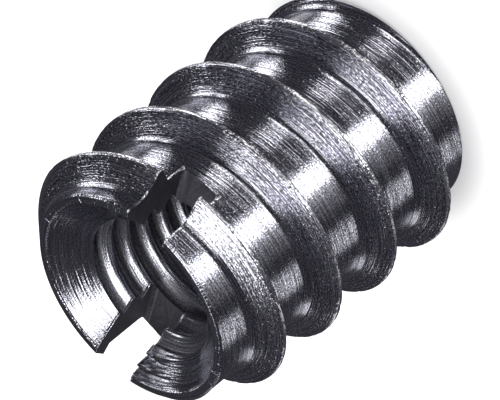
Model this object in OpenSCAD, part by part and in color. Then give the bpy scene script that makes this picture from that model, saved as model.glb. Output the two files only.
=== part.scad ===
// Threaded insert for wood: one turned steel piece with a coarse wood thread
// outside, a machine-thread bore inside, a countersunk mouth and a screwdriver
// slot across the mouth end. It stands on its leading end, with the slot on top
// and running along Y. Millimetres.

/* [Body] */
// Length over the two end faces
body_len = 17.6; // [13:0.2:24]
// Diameter over the crest of the wood thread
thread_d = 14; // [12:0.2:18]
// Angle from the axis of the chamfer that runs the wood thread out at both ends
end_chamfer = 45; // [35:1:60]
// How far that chamfer breaks the core's own edge, in radius
edge_break = 0.1; // [0.05:0.05:0.3]

/* [Wood thread] */
// Height of the wood thread above the core
thread_depth = 1.3; // [0.8:0.02:1.8]
// Axial distance from one turn to the next
thread_pitch = 4; // [3:0.1:6]
// Width of the narrow land along the crest
crest_land = 0.25; // [0.1:0.05:0.5]
// Axial run of the hollow flank that faces the slot
slot_flank = 0.85; // [0.5:0.05:1.2]
// Axial run of the steep flank that faces the leading end
lead_flank = 0.65; // [0.3:0.05:0.9]
// How hollow the slot-side flank is: 1 is straight
flank_hollow = 1.5; // [1:0.1:2]
// Angle round the axis, from X, at which the crest runs out of the mouth face
crest_exit = 290; // [0:1:359]

/* [Screwdriver slot] */
// Width of the slot
slot_w = 2.2; // [1.2:0.1:3]
// Depth of the slot below the mouth face
slot_depth = 3.8; // [2.2:0.1:5]
// Radius in the corners of the slot floor
slot_floor_r = 0.3; // [0.1:0.05:0.5]

/* [Screw bore] */
// Nominal diameter of the machine screw that the bore takes
screw_d = 8; // [5:0.1:10]
// Pitch of the machine thread
screw_pitch = 1.25; // [0.8:0.05:1.5]
// Width of the flat rim round the countersink
rim_w = 0.35; // [0.2:0.05:0.6]
// Included angle of the countersink at the mouth
sink_angle = 100; // [82:1:110]
// How much wider than the screw the entry chamfer at the leading end is
lead_clearance = 0.4; // [0.2:0.1:1]

/* [Hidden] */
$fn = 96;
part_col = [0.56, 0.58, 0.62];
over = 1;                                 // how far the cutters run past a face
thread_steps = 60;                        // facets to a turn of the wood thread
flank_steps = 3;                          // facets across the hollow flank
root_sink = 0.25;                         // how deep the thread's foot is set in the core
foot_sink = 0.06;                         // how far inside the core the hollow flank ends
minor_per_pitch = 1.0825;                 // metric thread: nominal less minor diameter

crest_r = thread_d / 2;
core_r = crest_r - thread_depth;
face_r = core_r - edge_break;
chamfer_run = (crest_r + over - face_r) / tan(end_chamfer);
bore_r = (screw_d - minor_per_pitch * screw_pitch) / 2;
sink_r = face_r - rim_w;
sink_depth = (sink_r - bore_r) / tan(sink_angle / 2);
entry_r = (screw_d + lead_clearance) / 2;
entry_depth = entry_r - bore_r;

// The hollow flank dips under the core a little past its stated run
full_depth = thread_depth + foot_sink;
full_run = slot_flank / (1 - pow(foot_sink / full_depth, 1 / flank_hollow));

// The thread's section as [radius, height above the crest's lower corner], from
// the foot of the leading flank, over the land, down the hollow flank
tooth = concat(
    [[core_r - root_sink, -lead_flank * (1 + root_sink / thread_depth)],
     [crest_r, 0],
     [crest_r, crest_land]],
    [for (i = [1 : flank_steps])
        let (t = i / flank_steps)
        [crest_r - full_depth * (1 - pow(1 - t, flank_hollow)), crest_land + full_run * t]],
    [[core_r - root_sink, crest_land + full_run + root_sink / 4]]);

// One right-handed ridge swept up the helix and past both end faces. Its rings
// stand at whole steps round the axis, and its foot is set into the core
module wood_thread() {
    n = len(tooth);
    past = crest_land + full_run + lead_flank + over;
    k_low = floor(thread_steps * (crest_exit / 360 - (body_len + past) / thread_pitch));
    k_high = ceil(thread_steps * (crest_exit / 360 + past / thread_pitch));
    rings = k_high - k_low;
    points = [for (k = [k_low : k_high], p = tooth)
        let (a = 360 * k / thread_steps,
             z = body_len + thread_pitch * (a - crest_exit) / 360)
        [p[0] * cos(a), p[0] * sin(a), z + p[1]]];
    sides = [for (k = [0 : rings - 1], j = [0 : n - 1])
        let (a = k * n + j, b = k * n + (j + 1) % n)
        each [[a, b, a + n], [b, b + n, a + n]]];
    ends = [[for (j = [n - 1 : -1 : 0]) j],
            [for (j = [0 : n - 1]) rings * n + j]];
    polyhedron(points = points, faces = concat(sides, ends), convexity = 12);
}

// The turned blank's outline: flat end faces just inside the core's diameter, and
// chamfers that carry the thread down to them
module end_envelope() {
    rotate_extrude()
        polygon([[0, 0], [face_r, 0], [crest_r + over, chamfer_run],
                 [crest_r + over, body_len - chamfer_run], [face_r, body_len], [0, body_len]]);
}

// The through bore at the machine thread's minor diameter, with the countersink
// at the mouth and the entry chamfer at the leading end
module screw_bore() {
    rotate_extrude()
        polygon([[0, -over], [entry_r + over, -over], [bore_r, entry_depth],
                 [bore_r, body_len - sink_depth],
                 [sink_r + over * tan(sink_angle / 2), body_len + over], [0, body_len + over]]);
}

// The slot's section across its length, with rounded floor corners
module slot_section() {
    translate([-slot_w / 2, slot_floor_r]) square([slot_w, slot_depth - slot_floor_r + over]);
    translate([-slot_w / 2 + slot_floor_r, 0]) square([slot_w - 2 * slot_floor_r, slot_floor_r * 2]);
    for (s = [-1, 1])
        translate([s * (slot_w / 2 - slot_floor_r), slot_floor_r]) circle(r = slot_floor_r);
}

module driver_slot() {
    translate([0, crest_r + over, body_len - slot_depth]) rotate([90, 0, 0])
        linear_extrude(height = thread_d + 2 * over) slot_section();
}

module insert_body() {
    color(part_col) difference() {
        intersection() {
            union() {
                cylinder(r = core_r, h = body_len);
                wood_thread();
            }
            end_envelope();
        }
        screw_bore();
        driver_slot();
    }
}

insert_body();
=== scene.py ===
# Looks for the threaded insert: one turned steel piece with its coarse outer thread, its
# inner machine thread, a countersunk mouth and a screwdriver slot, on a plain pale floor.
import math
from collections import namedtuple

import bpy
import numpy as np
from mathutils import Matrix, Vector


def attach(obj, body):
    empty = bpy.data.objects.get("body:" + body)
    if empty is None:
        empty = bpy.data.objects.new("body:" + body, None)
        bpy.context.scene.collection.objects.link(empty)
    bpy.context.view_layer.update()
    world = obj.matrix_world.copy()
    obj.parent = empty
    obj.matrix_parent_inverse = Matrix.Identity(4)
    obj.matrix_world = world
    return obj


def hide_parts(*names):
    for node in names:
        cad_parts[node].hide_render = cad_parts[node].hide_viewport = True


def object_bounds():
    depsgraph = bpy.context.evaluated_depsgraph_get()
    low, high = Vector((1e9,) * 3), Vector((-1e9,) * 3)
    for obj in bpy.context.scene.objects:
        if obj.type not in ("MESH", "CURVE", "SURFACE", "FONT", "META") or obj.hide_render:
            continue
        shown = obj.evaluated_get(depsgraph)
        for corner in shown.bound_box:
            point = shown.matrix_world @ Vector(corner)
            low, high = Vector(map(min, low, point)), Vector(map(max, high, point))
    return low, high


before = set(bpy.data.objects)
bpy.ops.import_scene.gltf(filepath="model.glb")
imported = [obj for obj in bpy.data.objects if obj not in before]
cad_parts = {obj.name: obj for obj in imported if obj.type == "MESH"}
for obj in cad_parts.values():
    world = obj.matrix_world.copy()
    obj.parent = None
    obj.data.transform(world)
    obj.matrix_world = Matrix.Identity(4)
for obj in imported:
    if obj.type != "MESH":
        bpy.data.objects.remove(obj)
cad_low, cad_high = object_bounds()

MM = 0.001
TAU = 2 * math.pi

# ---------------------------------------------------------------- sizes, millimetres
BODY_LEN = cad_high.z / MM
CREST_R = (cad_high.x - cad_low.x) / 2 / MM
THREAD_DEPTH = 1.3
CORE_R = CREST_R - THREAD_DEPTH
EDGE_BREAK = 0.1
FACE_R = CORE_R - EDGE_BREAK
THREAD_PITCH = 4.0
CREST_LAND = 0.25
SLOT_FLANK = 0.85
LEAD_FLANK = 0.65
FLANK_HOLLOW = 1.5
CREST_EXIT = math.radians(290)
SLOT_W = 2.2
SLOT_DEPTH = 3.8
SLOT_FLOOR_R = 0.3
RIM_W = 0.35
SINK_R = FACE_R - RIM_W
SINK_ANGLE = math.radians(100)
MINOR_R = 3.3234
MAJOR_R = 4.0
SCREW_PITCH = 1.25
SCREW_FLANK = math.radians(30)       # slope of the inner thread's flanks
ENTRY_R = 4.2
INNER_PHASE = math.radians(90)       # where an inner thread crest stands at INNER_Z
INNER_Z = 14.81

# what the solid leaves out: worn, rounded and torn places
WORN = 0.2                           # rounding of the inner thread's crests
INNER_ROOT_R = 0.15                  # rounding of the inner thread's roots
EDGE = 0.025                         # rounding of the turned edges
CREST_ROUND = 0.11                   # rounding of the wood thread's crest
LEAD_FOOT_R = 0.12                   # rounding at the foot of its steep flank
FOOT_FROM = 0.7                      # how far down the hollow flank its foot's arc begins
FOOT_SLOPE = math.atan(FLANK_HOLLOW * THREAD_DEPTH / SLOT_FLANK
                       * (1 - FOOT_FROM) ** (FLANK_HOLLOW - 1))
FOOT_R = THREAD_DEPTH * (1 - FOOT_FROM) ** FLANK_HOLLOW / (1 - math.cos(FOOT_SLOPE))
CHIP = 0.02                          # depth of the chips along the crest
CHIP_REACH = 0.12                    # how far from the crest's edges they go
TEAR_FROM = math.radians(-76)        # the slot wall where the countersink is torn
Tear = namedtuple("Tear", "step depth reach")
TEARS = (Tear(0.72, 0.38, math.radians(27)), Tear(0.21, 0.07, math.radians(34)))

# the finishes
BURR = 0.10                          # reach of the burrs at the edges
BURR_HEIGHT = 0.11
BURR_ROUGH = 0.08                    # what a burr adds to the roughness
SPECK = 0.025                        # height of the sparse raised specks
FROST = 0.05                         # added roughness where the marks are strong

# how finely things are cut
OVER = 1.0                           # how far cutters run past a face
OUTER_STEPS = 288                    # facets to a turn
INNER_STEPS = 120
SINK_RING = 0.04                     # from one ring of the countersink to the next
SINK_SLANT = 3.3                     # length of the countersink's cutter down its slope


# ---------------------------------------------------------------- thread sections
def fillet(points, radii, steps):
    """A polyline of (z, r) points with each inner corner rounded to its radius, or to what
    its sides leave room for."""
    straight, share = math.radians(88), 0.45
    out = [points[0]]
    for before, corner, after, radius in zip(points, points[1:], points[2:], radii):
        p, a, b = np.array(corner), np.array(before), np.array(after)
        u, v = (a - p) / np.linalg.norm(a - p), (b - p) / np.linalg.norm(b - p)
        half = math.acos(max(-1, min(1, float(u @ v)))) / 2
        if radius <= 0 or half > straight:
            out.append(tuple(p))
            continue
        reach = min(radius / math.tan(half),
                    share * np.linalg.norm(a - p), share * np.linalg.norm(b - p))
        radius = reach * math.tan(half)
        middle = p + (u + v) / np.linalg.norm(u + v) * radius / math.sin(half)
        start, end = p + u * reach - middle, p + v * reach - middle
        turn = math.atan2(start[0] * end[1] - start[1] * end[0], start @ end)
        for i in range(steps + 1):
            c, s = math.cos(turn * i / steps), math.sin(turn * i / steps)
            out.append((middle[0] + c * start[0] - s * start[1],
                        middle[1] + s * start[0] + c * start[1]))
    out.append(points[-1])
    return out


def outer_section():
    """One pitch of the wood thread, from mid-root over the crest to the next mid-root."""
    seam = (CREST_LAND + SLOT_FLANK + THREAD_PITCH - LEAD_FLANK) / 2
    # the crest's land starts at z = 0
    hollow = [(CREST_LAND + SLOT_FLANK * t, CORE_R + THREAD_DEPTH * (1 - t) ** FLANK_HOLLOW)
              for t in (0.12, 0.25, 0.38, 0.51, 0.61, FOOT_FROM)]
    # from there the flank runs out into the root on a plain arc
    z = hollow[-1][0]
    foot = [(z + FOOT_R * (math.sin(FOOT_SLOPE) - math.sin(a)),
             CORE_R + FOOT_R * (1 - math.cos(a)))
            for a in (FOOT_SLOPE * part for part in (0.84, 0.67, 0.5, 0.33, 0.16, 0))]
    points = [(seam - THREAD_PITCH, CORE_R), (-LEAD_FLANK, CORE_R), (0, CREST_R),
              (CREST_LAND, CREST_R)]
    points += hollow + foot + [(seam, CORE_R)]
    radii = [LEAD_FOOT_R, CREST_ROUND, CREST_ROUND] + [0] * (len(hollow) + len(foot))
    return fillet(points, radii, 4)


def inner_section():
    """One pitch of the tap that cuts the inner thread, from mid-crest to mid-crest of the
    insert's own thread. The crests are worn round down to the minor radius."""
    rise = [(WORN * math.sin(t), MINOR_R + WORN * (1 - math.cos(t)))
            for t in (math.radians(a) for a in (0, 15, 30, 45, 60))]
    foot = rise[-1][0] + (MAJOR_R - rise[-1][1]) * math.tan(SCREW_FLANK)
    points = rise + [(foot, MAJOR_R), (SCREW_PITCH - foot, MAJOR_R)]
    points += [(SCREW_PITCH - z, r) for z, r in reversed(rise)]
    return fillet(points, [0] * 4 + [INNER_ROOT_R, INNER_ROOT_R] + [0] * 4, 3)


# ---------------------------------------------------------------- steel, as each tool left it
# Every face keeps the number of the tool that cut it, which is its material's index, and
# the map "turning" lays it out in millimetres: u along the cut and v across it.
TURNED, FACED, TAPPED, SUNK, SAWN = range(5)


class Nodes:
    """A small shorthand for a material's node tree."""

    def __init__(self, material):
        material.use_nodes = True
        self.tree = material.node_tree
        self.shader = self.tree.nodes["Principled BSDF"]

    def add(self, kind, inputs=(), **settings):
        node = self.tree.nodes.new(kind)
        for key, value in settings.items():
            setattr(node, key, value)
        for key, value in dict(inputs).items():
            self.put(value, node.inputs[key])
        return node

    def put(self, value, socket):
        if isinstance(value, bpy.types.NodeSocket):
            self.tree.links.new(value, socket)
        else:
            socket.default_value = value

    def math(self, operation, *values):
        node = self.add("ShaderNodeMath", operation=operation)
        for value, socket in zip(values, node.inputs):
            self.put(value, socket)
        return node.outputs[0]

    def noise(self, at, grain, seed, detail=1.0):
        """Noise with grains of the given (along, across) the cut, in millimetres."""
        along, across = grain
        moved = self.add("ShaderNodeMapping", {"Vector": at, "Scale": (1 / along, 1 / across, 1),
                                               "Location": (seed * 3.7, seed * 5.3, seed)})
        return self.add("ShaderNodeTexNoise", {"Vector": moved.outputs[0], "Scale": 1.0,
                                               "Detail": detail, "Roughness": 0.6}).outputs[0]

    def span(self, value, low, high, to_low=0.0, to_high=1.0):
        """The value carried from low..high to to_low..to_high, and held beyond the ends."""
        return self.add("ShaderNodeMapRange", {"Value": value, "From Min": low, "From Max": high,
                                               "To Min": to_low, "To Max": to_high}).outputs[0]

    def blend(self, factor, low, high):
        """low where the factor is 0, high where it is 1."""
        node = self.add("ShaderNodeMix", {"Factor": factor}, data_type="FLOAT")
        self.put(low, node.inputs[2])
        self.put(high, node.inputs[3])
        return node.outputs[0]

    def near(self, value, centre, reach):
        """One at the centre, falling to nothing at reach on either side."""
        off = self.math("ABSOLUTE", self.math("SUBTRACT", value, centre))
        return self.span(off, 0.0, reach, 1.0, 0.0)

    def ramp(self, value, stops):
        """A piecewise linear curve through stops of (value, result), each from 0 to 1."""
        node = self.add("ShaderNodeValToRGB", {"Fac": value})
        points = node.color_ramp.elements
        for _ in stops[2:]:
            points.new(0.5)
        for point, (at, grey) in zip(points, sorted(stops)):
            point.position = at
            point.color = (grey, grey, grey, 1)
        return node.outputs[0]


# grains that the finishes share, (along, across) the cut in millimetres
PATCHES = (2.5, 0.5)                 # where the metal is more torn or less
PITS = (0.09, 0.065)
DRAWN_PITS = (0.16, 0.06)
STREAKS = (4.0, 0.055)
SPECKS = (0.16, 0.08)
TICKS = (0.09, 1.2)
BEADS = (0.11, 0.09)                 # the burrs' beads
BEAD_RUNS = (1.1, 1.1)               # where they come thick or thin
# the metal's colour, from one patch to another
DARK_STEEL, LIGHT_STEEL = (0.46, 0.46, 0.53), (0.58, 0.58, 0.64)


def steel(name, seed, short, long, grain, rough, worn_edges=(), zones=None, land=None,
          sawn=False, chatter=0.0, shade=1.0, painted_groove_shade=None, shaded_near_tear=None, speckle=0.7):
    """Bare cut steel. Places and sizes are millimetres of the map "turning".

    short, long  (along, across, height) of the short and the long tool marks
    grain        (size, height) of the torn spots
    rough        the (lowest, highest) roughness
    worn_edges   places across the cut where an edge has burrs and a painted glint
    zones        (width, curve): how strong the marks are, over the width of the cut
    land         the crest's two edges across the cut; between them the land has a painted highlight
    sawn         the slot's own walls, which have no burrs
    chatter      height of ticks that stand across the cut
    shade        what the metal's colour is multiplied by
    painted_groove_shade  (centre, inner, outer) across the cut: painted shade in the grooves,
             full as far as inner from the centre and no darker than the rest from outer on
    shaded_near_tear  (place, reach) along the cut: painted shade, darker and rougher near the
    place
    speckle      how far the pits and streaks stray from the plain brightness"""
    material = bpy.data.materials.new(name)
    n = Nodes(material)
    at = n.add("ShaderNodeUVMap", uv_map="turning").outputs[0]
    along, across, _ = n.add("ShaderNodeSeparateXYZ", {"Vector": at}).outputs

    # tool marks, torn spots and pits
    height = n.math("MULTIPLY", n.noise(at, short[:2], seed), short[2])
    height = n.math("MULTIPLY_ADD", n.noise(at, long[:2], seed + 1), long[2], height)
    patchy = n.noise(at, PATCHES, seed + 3, detail=2.0)
    torn = n.span(patchy, 0.35, 0.62, 0.15, 1.0)
    size, spot_height = grain
    spots = n.noise(at, (size * 1.3, size), seed + 2)
    pits = n.noise(at, PITS, seed + 7)
    if zones:
        width, curve = zones
        strength = n.ramp(n.math("DIVIDE", across, width), curve)
        # round grains in the roots, drawn out along the cut up the flanks
        drawn = n.span(strength, 0.45, 0.75)
        spots = n.blend(drawn, spots, n.noise(at, (size * 2.5, size), seed + 11))
        pits = n.blend(drawn, pits, n.noise(at, DRAWN_PITS, seed + 12))
        height = n.math("MULTIPLY", height, strength)
        torn = n.math("MULTIPLY", torn, n.span(strength, 0.45, 0.9, 0.35, 1.0))
    if chatter:
        ticks = n.noise(at, TICKS, seed + 6, detail=0.0)
        height = n.math("MULTIPLY_ADD", ticks, chatter, height)

    # burrs along the turned edges and where the saw broke out; the same mask also paints a glint
    # into the colour there
    place = n.add("ShaderNodeTexCoord").outputs["Object"]
    x, _, z = n.add("ShaderNodeSeparateXYZ", {"Vector": place}).outputs
    if sawn:
        burr_and_glint = 0.0
    else:
        burr_and_glint = n.near(n.math("ABSOLUTE", x), SLOT_W / 2 * MM, BURR * MM)
        above_floor = n.math("GREATER_THAN", z, (BODY_LEN - SLOT_DEPTH - BURR) * MM)
        burr_and_glint = n.math("MULTIPLY", burr_and_glint, above_floor)
    for edge in worn_edges:
        burr_and_glint = n.math("MAXIMUM", burr_and_glint, n.near(across, edge, BURR))
    if land:
        off = n.math("ABSOLUTE", n.math("SUBTRACT", across, (land[0] + land[1]) / 2))
        half = (land[1] - land[0]) / 2
        land_highlight = n.span(off, half - 0.02, half + 0.06, 1.0, 0.0)
        burr_and_glint = n.math("MAXIMUM", burr_and_glint, n.math("MULTIPLY", land_highlight, 0.2))
    runs = n.span(n.noise(at, BEAD_RUNS, seed + 13), 0.42, 0.55, 0.25, 1.0)
    burr_and_glint = n.math("MULTIPLY", burr_and_glint, runs)
    beads = n.noise(at, BEADS, seed + 5, detail=0.0)

    height = n.math("MULTIPLY_ADD", n.math("MULTIPLY", spots, torn), spot_height, height)
    if zones:
        specks = n.span(n.noise(at, SPECKS, seed + 10, detail=0.0), 0.69, 0.80)
        height = n.math("MULTIPLY_ADD", n.math("MULTIPLY", specks, torn), SPECK, height)
    height = n.math("MULTIPLY_ADD", n.math("MULTIPLY", beads, burr_and_glint), BURR_HEIGHT, height)
    bump = n.add("ShaderNodeBump", {"Height": height, "Strength": 1.0, "Distance": MM,
                                    "Filter Width": 0.2})
    n.put(bump.outputs[0], n.shader.inputs["Normal"])

    # roughness in streaks, and a brightness that pits and streaks make uneven
    streak = n.noise(at, (short[0] * 2, short[1] * 1.5), seed + 4)
    roughness = n.span(streak, 0.3, 0.7, *rough)
    if zones:
        roughness = n.math("ADD", roughness, n.span(strength, 0.5, 0.9, 0.0, FROST))
    roughness = n.math("MULTIPLY_ADD", burr_and_glint, BURR_ROUGH, roughness)
    uneven = n.math("MULTIPLY", n.noise(at, STREAKS, seed + 8), 0.4)
    uneven = n.math("MULTIPLY_ADD", pits, 0.6, uneven)
    bright = n.span(uneven, 0.4, 0.6, 1.0 - speckle, 1.0 + speckle)
    # painted glint: along the burrs the colour is made lighter in beads, up to 1.7 times
    bright = n.math("MULTIPLY_ADD", burr_and_glint, n.span(beads, 0.38, 0.58, 0.5, 1.7), bright)
    if land:
        # painted highlight: the crest's land is given a lighter colour
        bright = n.math("MULTIPLY_ADD", land_highlight, 0.5, bright)
    # painted shade: the colour darker, to 0.65 of itself, and the roughness higher near a place
    # along the cut
    if shaded_near_tear:
        painted_shade = n.near(along, *shaded_near_tear)
        bright = n.math("MULTIPLY", bright, n.span(painted_shade, 0.0, 1.0, 1.0, 0.65))
        roughness = n.math("MULTIPLY_ADD", painted_shade, 0.15, roughness)
    # painted shade in the inner thread's grooves: the colour darkened to 0.42 of itself towards
    # the groove's middle, and the roughness raised
    if painted_groove_shade:
        centre, inner, outer = painted_groove_shade
        off = n.math("ABSOLUTE", n.math("SUBTRACT", across, centre))
        depth = n.span(off, inner, outer, 1.0, 0.0)
        bright = n.math("MULTIPLY", bright, n.span(depth, 0.0, 1.0, 1.0, 0.42))
        roughness = n.math("MULTIPLY_ADD", depth, 0.3, roughness)
    n.put(roughness, n.shader.inputs["Roughness"])

    tint = n.add("ShaderNodeMix", data_type="RGBA")
    n.put(patchy, tint.inputs["Factor"])
    for socket, colour in ((tint.inputs[6], DARK_STEEL), (tint.inputs[7], LIGHT_STEEL)):
        socket.default_value = (*(shade * part for part in colour), 1)
    metal = n.add("ShaderNodeVectorMath", {0: tint.outputs[2]}, operation="SCALE")
    n.put(bright, metal.inputs["Scale"])
    n.put(metal.outputs[0], n.shader.inputs["Base Color"])
    n.shader.inputs["Metallic"].default_value = 1
    return material


def arc_lengths(section):
    """Where the section's heights lie along its own length."""
    z, r = np.array(section).T
    return z, np.concatenate([[0], np.cumsum(np.hypot(np.diff(z), np.diff(r)))])


outer_z, outer_arc = arc_lengths(outer_section())


def outer_at(z):
    return float(np.interp(z, outer_z, outer_arc))


PITCH_ARC = outer_arc[-1]
CREST_ARCS = (outer_at(0), outer_at(CREST_LAND))
SLOT_FOOT = CREST_LAND + SLOT_FLANK * FOOT_FROM + FOOT_R * math.sin(FOOT_SLOPE)
INNER_ROOT = float(arc_lengths(inner_section())[1][-1]) / 2
# plain roots, smooth feet, and marks that grow up the flanks to the crest
THREAD_ZONES = (PITCH_ARC, [(outer_at(z) / PITCH_ARC, strength) for z, strength in (
    (-LEAD_FLANK - 0.3, 0.45), (-LEAD_FLANK + 0.1, 0.3), (-0.2, 0.8), (0.0, 0.9),
    (CREST_LAND, 0.9), (CREST_LAND + 0.1, 1.0), (SLOT_FOOT - 0.5, 0.8), (SLOT_FOOT - 0.3, 0.35),
    (SLOT_FOOT + 0.1, 0.2), (SLOT_FOOT + 0.35, 0.45))])

STEELS = [
    steel("steel_turned", 1, short=(2.0, 0.06, 0.014), long=(8.0, 0.085, 0.030),
          grain=(0.07, 0.025), rough=(0.10, 0.2), zones=THREAD_ZONES, land=CREST_ARCS),
    steel("steel_faced", 11, short=(0.4, 0.08, 0.010), long=(2.0, 0.1, 0.016),
          grain=(0.07, 0.010), rough=(0.10, 0.2), chatter=0.022, speckle=0.4),
    # the bore's colour is made 1.3 times as light so that its thread's highlights come out
    # brighter: a painted highlight
    steel("steel_tapped", 21, short=(2.0, 0.06, 0.006), long=(6.0, 0.09, 0.010),
          grain=(0.07, 0.008), rough=(0.17, 0.27), shade=1.3, speckle=0.6,
          painted_groove_shade=(INNER_ROOT + 0.12, INNER_ROOT - 0.46, INNER_ROOT - 0.32)),
    # the countersink gets painted shade along its torn side by the slot wall
    steel("steel_countersunk", 31, short=(1.5, 0.055, 0.012), long=(6.0, 0.08, 0.018),
          grain=(0.07, 0.012), rough=(0.10, 0.2), worn_edges=(SINK_R,), speckle=0.45,
          shaded_near_tear=(TEAR_FROM * SINK_R, TEARS[1].reach * SINK_R)),
    steel("steel_sawn", 41, short=(2.0, 0.10, 0.004), long=(4.0, 0.2, 0.004),
          grain=(0.1, 0.006), rough=(0.34, 0.44), sawn=True, shade=0.49, speckle=0.3),
]


# ---------------------------------------------------------------- mesh helpers
def new_object(name, verts, faces, tool_mark):
    """A mesh from points in millimetres, with the mark of one tool on all its faces."""
    mesh = bpy.data.meshes.new(name)
    mesh.from_pydata([tuple(v * MM) for v in verts], [], faces)
    for material in STEELS:
        mesh.materials.append(material)
    mesh.polygons.foreach_set("material_index", [tool_mark] * len(mesh.polygons))
    mesh.update()
    obj = bpy.data.objects.new(name, mesh)
    bpy.context.scene.collection.objects.link(obj)
    return obj


def screw_rod(name, section, pitch, z_low, z_high, steps, angle, z_at_angle, tool_mark,
              wobble=None):
    """A closed threaded rod. section is one pitch of the profile as (z, r), from one turn's
    seam to the next; it stands at height z_at_angle where the helix passes the given angle.
    wobble(r, z, angles) moves the rings' points."""
    n = len(section) - 1
    k_low = math.floor(steps * ((z_low - z_at_angle) / pitch))
    k_high = math.ceil(steps * ((z_high - z_at_angle) / pitch))
    k = np.arange(k_low, k_high + 1)
    a = angle + TAU * k / steps
    z0 = z_at_angle + pitch * k / steps
    sec = np.array(section[:n])
    r = np.repeat(sec[None, :, 1], len(k), 0)
    z = z0[:, None] + sec[None, :, 0]
    if wobble is not None:
        r, z = wobble(r, z, a)
    verts = np.stack([r * np.cos(a)[:, None], r * np.sin(a)[:, None], z], -1).reshape(-1, 3)
    rings = len(k)

    def at(i, j):
        """Vertex of ring i and section point j; point n is the next turn's seam."""
        return (i + steps) * n if j == n else i * n + j

    faces = []
    for i in range(rings - 1):
        for j in range(n):
            if j == n - 1 and i + 1 + steps >= rings:
                continue
            faces.append((at(i, j), at(i + 1, j), at(i + 1, j + 1), at(i, j + 1)))
    # the two open ends are closed to points on the axis
    last = rings - 1
    low_loop = [at(0, j) for j in range(n)] + [at(i, 0) for i in range(steps, -1, -1)]
    high_loop = [at(last, j) for j in range(n)]
    high_loop += [at(i, n - 1) for i in range(last - 1, last - steps - 1, -1)] + [at(last, 0)]
    low_tip, high_tip = len(verts), len(verts) + 1
    verts = np.vstack([verts, [[0, 0, z.min() - OVER], [0, 0, z.max() + OVER]]])
    faces += [(low_tip, p, q) for p, q in zip(low_loop, low_loop[1:])]
    faces += [(high_tip, q, p) for p, q in zip(high_loop, high_loop[1:])]
    return new_object(name, verts, faces, tool_mark)


def lathe(name, profile, steps, tool_mark):
    """A closed solid of revolution. profile is (z, r) from the axis back to the axis."""
    inner = [p for p in profile if p[1] > 1e-9]
    a = TAU * np.arange(steps) / steps
    verts = [np.stack([r * np.cos(a), r * np.sin(a), np.full(steps, z)], -1) for z, r in inner]
    verts = np.concatenate(verts + [np.array([[0, 0, profile[0][0]], [0, 0, profile[-1][0]]])])
    faces = []
    for j in range(len(inner) - 1):
        for i in range(steps):
            i2 = (i + 1) % steps
            here, above = j * steps, (j + 1) * steps
            faces.append((here + i, here + i2, above + i2, above + i))
    start, end, last = len(verts) - 2, len(verts) - 1, (len(inner) - 1) * steps
    for i in range(steps):
        i2 = (i + 1) % steps
        faces.append((start, i2, i))
        faces.append((end, last + i, last + i2))
    return new_object(name, verts, faces, tool_mark)


def boolean(obj, tool, operation):
    """Cuts obj with the tool, which is used up."""
    modifier = obj.modifiers.new("cut", "BOOLEAN")
    modifier.operation = operation
    modifier.solver = "MANIFOLD"
    modifier.object = tool
    evaluated = obj.evaluated_get(bpy.context.evaluated_depsgraph_get())
    mesh = bpy.data.meshes.new_from_object(evaluated)
    obj.modifiers.clear()
    old = obj.data
    obj.data = mesh
    bpy.data.meshes.remove(old)
    bpy.data.objects.remove(tool)
    return obj


# ---------------------------------------------------------------- the insert
def envelope_profile():
    """What the lathe leaves: square faces with a 45 degree chamfer out past the crest."""
    run = CREST_R + OVER - FACE_R
    midway = FACE_R / 2
    points = [(0, 0), (0, FACE_R), (run, FACE_R + run), (BODY_LEN - run, FACE_R + run),
              (BODY_LEN, FACE_R), (BODY_LEN, 0)]
    rounded = fillet(points, [EDGE, 0, 0, EDGE], 3)[1:-1]
    return [(0, 0), (0, midway)] + rounded + [(BODY_LEN, midway), (BODY_LEN, 0)]


def entry_profile():
    """A 45 degree cone at the leading end, which stops well inside the bore."""
    tip_r = 2.0
    return [(-OVER, 0), (-OVER, ENTRY_R + OVER), (ENTRY_R - tip_r, tip_r), (ENTRY_R - tip_r, 0)]


def drift(rng, count, reach):
    """Smooth random numbers of about unit size, alike over reach neighbours."""
    kernel = np.hanning(reach + 2)
    rough = np.convolve(rng.standard_normal(count + reach + 1), kernel, "valid")
    return rough[:count] / rough.std()


def chipped_crest(r, z, angles):
    """Small chips along the two edges of the thread's crest."""
    unchipped = 0.3                  # drift below this leaves the edge whole
    rng = np.random.default_rng(5)
    section = np.array(outer_section())[:-1]
    for edge, into in ((0.0, 1), (CREST_LAND, -1)):
        off = np.hypot(section[:, 0] - edge, section[:, 1] - CREST_R)
        near = np.clip(1 - off / CHIP_REACH, 0, 1)
        chips = np.clip(drift(rng, len(angles), 2) - unchipped, 0, 2)[:, None] * near
        r = r - CHIP * chips
        z = z + into * CHIP * chips
    return r, z


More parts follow.
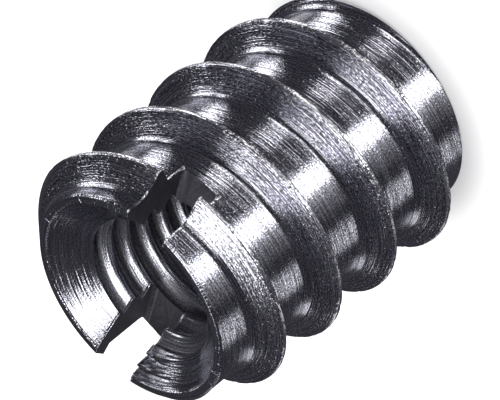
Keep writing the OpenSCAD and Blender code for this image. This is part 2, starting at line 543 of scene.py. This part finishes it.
def countersink():
    """The countersink's cutter. Where it meets one wall of the slot it has torn rough steps."""
    wave = 0.004                     # unevenness of the whole cone
    whole_rim = 0.1                  # width of the cone below the rim that is not torn
    past_wall = 0.15                 # how far the tears run on into the slot, in radians
    fade = 1.6                       # how sharply they die out away from the wall
    fall = 0.8                       # where in a step its wall begins
    rng = np.random.default_rng(11)
    angles = TAU * np.arange(OUTER_STEPS) / OUTER_STEPS
    from_wall = (angles - TEAR_FROM + math.pi) % TAU - math.pi
    down = np.arange(0, SINK_SLANT, SINK_RING)
    down = np.concatenate([[-OVER / math.cos(SINK_ANGLE / 2)], down])
    sway = drift(rng, OUTER_STEPS, 9)
    uneven = [drift(rng, OUTER_STEPS, 16) for _ in range(16)]
    verts, faces = [], []
    for along in down:
        shift = wave * sway * (along > 0)
        for tear in TEARS:
            number, part = divmod(max(along, 0) / tear.step, 1)
            # each step is a slope that sinks in, then a sudden wall back out
            saw = min(part, (1 - part) * fall / (1 - fall)) - 0.5
            torn = np.clip(1 - from_wall / tear.reach, 0, 1) ** fade * (from_wall > -past_wall)
            each = 1 + 0.3 * uneven[int(number)]
            shift = shift + tear.depth * torn * saw * each * (along > whole_rim)
        r = SINK_R - along * math.sin(SINK_ANGLE / 2) + shift * math.cos(SINK_ANGLE / 2)
        z = BODY_LEN - along * math.cos(SINK_ANGLE / 2) - shift * math.sin(SINK_ANGLE / 2)
        verts.append(np.stack([r * np.cos(angles), r * np.sin(angles), z + 0 * r], -1))
    rings, n = len(down), OUTER_STEPS
    verts = np.concatenate(verts + [np.array([[0, 0, BODY_LEN + OVER], [0, 0, verts[-1][0, 2]]])])
    for j in range(rings - 1):
        for i in range(n):
            k = (i + 1) % n
            faces.append((j * n + k, j * n + i, (j + 1) * n + i, (j + 1) * n + k))
    top, low, last = rings * n, rings * n + 1, (rings - 1) * n
    faces += [(top, i, (i + 1) % n) for i in range(n)]
    faces += [(low, last + (i + 1) % n, last + i) for i in range(n)]
    return new_object("sink", verts, faces, SUNK)


def insert():
    """The insert, cut in the order that its maker would cut it."""
    body = screw_rod("insert", outer_section(), THREAD_PITCH, -3 * OVER, BODY_LEN + 3 * OVER,
                     OUTER_STEPS, CREST_EXIT, BODY_LEN, TURNED, chipped_crest)
    boolean(body, lathe("envelope", envelope_profile(), OUTER_STEPS, FACED), "INTERSECT")
    tap = screw_rod("tap", inner_section(), SCREW_PITCH, -2 * OVER, BODY_LEN + 2 * OVER,
                    INNER_STEPS, INNER_PHASE, INNER_Z, TAPPED)
    boolean(body, tap, "DIFFERENCE")
    boolean(body, countersink(), "DIFFERENCE")
    boolean(body, lathe("entry", entry_profile(), OUTER_STEPS, SUNK), "DIFFERENCE")
    boolean(body, slot_cutter(), "DIFFERENCE")
    return body


def slot_cutter():
    """The saw's path: a long bar with rounded lower corners."""
    half, floor = SLOT_W / 2, BODY_LEN - SLOT_DEPTH
    section = [(half, BODY_LEN + OVER), (half, floor), (-half, floor), (-half, BODY_LEN + OVER)]
    section = fillet(section, [SLOT_FLOOR_R, SLOT_FLOOR_R], 6)
    reach = CREST_R + OVER
    n = len(section)
    verts = [(x, y, z) for y in (-reach, reach) for x, z in section]
    faces = [(i, (i + 1) % n, n + (i + 1) % n, n + i) for i in range(n)]
    faces += [tuple(range(n - 1, -1, -1)), tuple(range(n, 2 * n))]
    return new_object("saw", np.array(verts), faces, SAWN)


def lay_out(obj):
    """Makes the map "turning": each face corner's place along and across its cut, in
    millimetres. The threads are laid out along their helix."""
    mesh = obj.data
    count = len(mesh.loops)
    at = np.empty(len(mesh.vertices) * 3)
    mesh.vertices.foreach_get("co", at)
    corner = np.empty(count, int)
    mesh.loops.foreach_get("vertex_index", corner)
    p = at.reshape(-1, 3)[corner] / MM
    middle, kind, total = (np.empty(len(mesh.polygons) * n) for n in (3, 1, 1))
    mesh.polygons.foreach_get("center", middle)
    mesh.polygons.foreach_get("material_index", kind)
    mesh.polygons.foreach_get("loop_total", total)
    face = np.repeat(np.arange(len(total)), total.astype(int))
    c, kind = middle.reshape(-1, 3)[face] / MM, kind[face]

    # angles count from the middle of the slot, so that the map's seam falls there
    seam = -math.pi / 2
    c_angle = (np.arctan2(c[:, 1], c[:, 0]) - seam) % TAU + seam
    angle = c_angle + (np.arctan2(p[:, 1], p[:, 0]) - c_angle + math.pi) % TAU - math.pi
    radius = np.hypot(p[:, 0], p[:, 1])
    u, v = np.zeros(count), np.zeros(count)

    def helical(section, pitch, phase, z_at_phase, mean_radius, rows):
        z, arc = arc_lengths(section)
        above = c[:, 2] - z_at_phase - pitch * (c_angle - phase) / TAU
        turn = np.floor((above - z[0]) / pitch)
        full = angle + TAU * turn
        s = p[:, 2] - z_at_phase - pitch * (full - phase) / TAU
        u[rows] = (full * mean_radius)[rows]
        v[rows] = np.interp(s, z, arc)[rows]

    helical(outer_section(), THREAD_PITCH, CREST_EXIT, BODY_LEN, CORE_R, kind == TURNED)
    helical(inner_section(), SCREW_PITCH, INNER_PHASE, INNER_Z, MAJOR_R, kind == TAPPED)
    for mark, mean_radius in ((FACED, FACE_R), (SUNK, SINK_R)):
        rows = kind == mark
        u[rows] = angle[rows] * mean_radius
        # across the cut: along the radius on the flats, down the slope on the cones
        v[rows] = np.hypot(radius, np.abs(p[:, 2] - BODY_LEN / 2) - BODY_LEN / 2)[rows]
    rows = kind == SAWN
    u[rows] = p[rows, 1]
    v[rows] = (p[:, 2] - np.abs(p[:, 0]))[rows]
    layer = mesh.uv_layers.new(name="turning")
    layer.uv.foreach_set("vector", np.stack([u, v], -1).ravel())


body = insert()
body.name = body.data.name = "insert_turned"
body.data.shade_smooth()
body.data.set_sharp_from_angle(angle=math.radians(32))
lay_out(body)

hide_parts("insert_body")
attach(body, "root")

# ---------------------------------------------------------------- floor, light, camera
PALE = (0.9, 0.9, 0.9, 1)
DIM_STUDIO = (0.047, 0.046, 0.055, 1)  # what the steel mirrors between the lamps
WHITE_STUDIO = (1.9, 1.9, 1.9, 1)      # what lights the floor and stands behind it all
LAMP_DISTANCE = 0.4
LAMPS = (  # name, azimuth, elevation, wide, high, radiance, roll; angles in degrees
    ("main", 47, -34, 18, 50, 3.0, 0),
    ("main_edge", 31, -33, 12, 50, 0.30, 0),
    ("main_fade", 18, -33, 14, 60, 0.11, 0),
    ("second", 101, -19, 18, 18, 2.8, 0),
    ("edge_line", 74, -14, 28, 16, 1.5, 0),
    ("back_low", 170, -41, 15, 21, 3.5, 0),
    ("back_edge", 212, -30, 28, 18, 0.8, 0),
    ("back_left", 178, 14, 17, 32, 2.5, 0),
    ("back_right", 160, 12, 7, 30, 1.9, 0),
    ("dim_back", 205, -33, 44, 60, 0.05, 0),
    ("grey", 336, -33, 22, 8, 1.2, 0),
    ("right", 292, -6, 16, 30, 0.8, 0),
    ("above", 331, 80, 28, 58, 3.2, 107),
    ("above_low", 65, 51, 42, 28, 0.8, 13),
)
VIEW_AZIMUTH = 68.189                  # the photograph's viewing angle, degrees
VIEW_ELEVATION = 32.744
VIEW_ROLL = -129.101
VIEW_DISTANCE = 260.47 * MM
VIEW_OFFSET = (-0.119 * MM, -0.087 * MM)  # of the picture's middle from the insert's
LENS_MM = 396.28
SENSOR_MM = 36


def pose(obj, azimuth, elevation, roll, distance, offset=(0, 0)):
    """Stands a lamp or a camera in this direction from the insert's middle, facing it, rolled
    about its own centre line and then moved to its right and up by the offset."""
    a, e, r = math.radians(azimuth), math.radians(elevation), math.radians(roll)
    towards = Vector((math.cos(e) * math.cos(a), math.cos(e) * math.sin(a), math.sin(e)))
    side = Vector((-math.sin(a), math.cos(a), 0))
    top = towards.cross(side)
    right = math.cos(r) * side + math.sin(r) * top
    up = math.cos(r) * top - math.sin(r) * side
    middle = Vector((0, 0, BODY_LEN / 2 * MM))
    at = middle + towards * distance + right * offset[0] + up * offset[1]
    turned = Matrix((right, up, towards)).transposed().to_4x4()
    obj.matrix_world = Matrix.Translation(at) @ turned
    bpy.context.scene.collection.objects.link(obj)


def softbox(name, azimuth, elevation, wide, high, radiance, roll):
    """A plain lamp panel that is wide by high degrees as seen from the insert."""
    lamp = bpy.data.lights.new(name, "AREA")
    lamp.shape = "RECTANGLE"
    lamp.size = 2 * LAMP_DISTANCE * math.tan(math.radians(wide) / 2)
    lamp.size_y = 2 * LAMP_DISTANCE * math.tan(math.radians(high) / 2)
    lamp.energy = radiance * math.pi * lamp.size * lamp.size_y
    obj = bpy.data.objects.new(name, lamp)
    pose(obj, azimuth, elevation, roll, LAMP_DISTANCE)
    obj.visible_camera = False
    obj.visible_diffuse = False


def studio():
    """The world: white to the camera and to the floor, dim in the steel."""
    world = bpy.data.worlds.new("studio")
    bpy.context.scene.world = world
    world.use_nodes = True
    world.cycles.sampling_method = "NONE"
    nodes, links = world.node_tree.nodes, world.node_tree.links
    path = nodes.new("ShaderNodeLightPath")
    seen = nodes.new("ShaderNodeMath")
    seen.operation = "MAXIMUM"
    links.new(path.outputs["Is Camera Ray"], seen.inputs[0])
    links.new(path.outputs["Is Diffuse Ray"], seen.inputs[1])
    mix = nodes.new("ShaderNodeMix")
    mix.data_type = "RGBA"
    links.new(seen.outputs[0], mix.inputs["Factor"])
    mix.inputs[6].default_value = DIM_STUDIO
    mix.inputs[7].default_value = WHITE_STUDIO
    links.new(mix.outputs[2], nodes["Background"].inputs["Color"])


bpy.ops.mesh.primitive_plane_add(size=4, location=(0, 0, 0))
floor = bpy.context.object
floor.name = "floor"
pale = bpy.data.materials.new("pale_floor")
pale.use_nodes = True
pale.node_tree.nodes["Principled BSDF"].inputs["Base Color"].default_value = PALE
floor.data.materials.append(pale)
# the steel mirrors the studio only, and lamps that stand lower than the floor reach it
floor.visible_glossy = False
floor.visible_shadow = False

for lamp in LAMPS:
    softbox(*lamp)
studio()

camera = bpy.data.objects.new("camera", bpy.data.cameras.new("camera"))
pose(camera, VIEW_AZIMUTH, VIEW_ELEVATION, VIEW_ROLL, VIEW_DISTANCE, VIEW_OFFSET)
camera.data.lens = LENS_MM
camera.data.sensor_width = SENSOR_MM
camera.data.clip_start, camera.data.clip_end = 0.01, 10
bpy.context.scene.camera = camera
bpy.context.scene.view_settings.view_transform = "Standard"
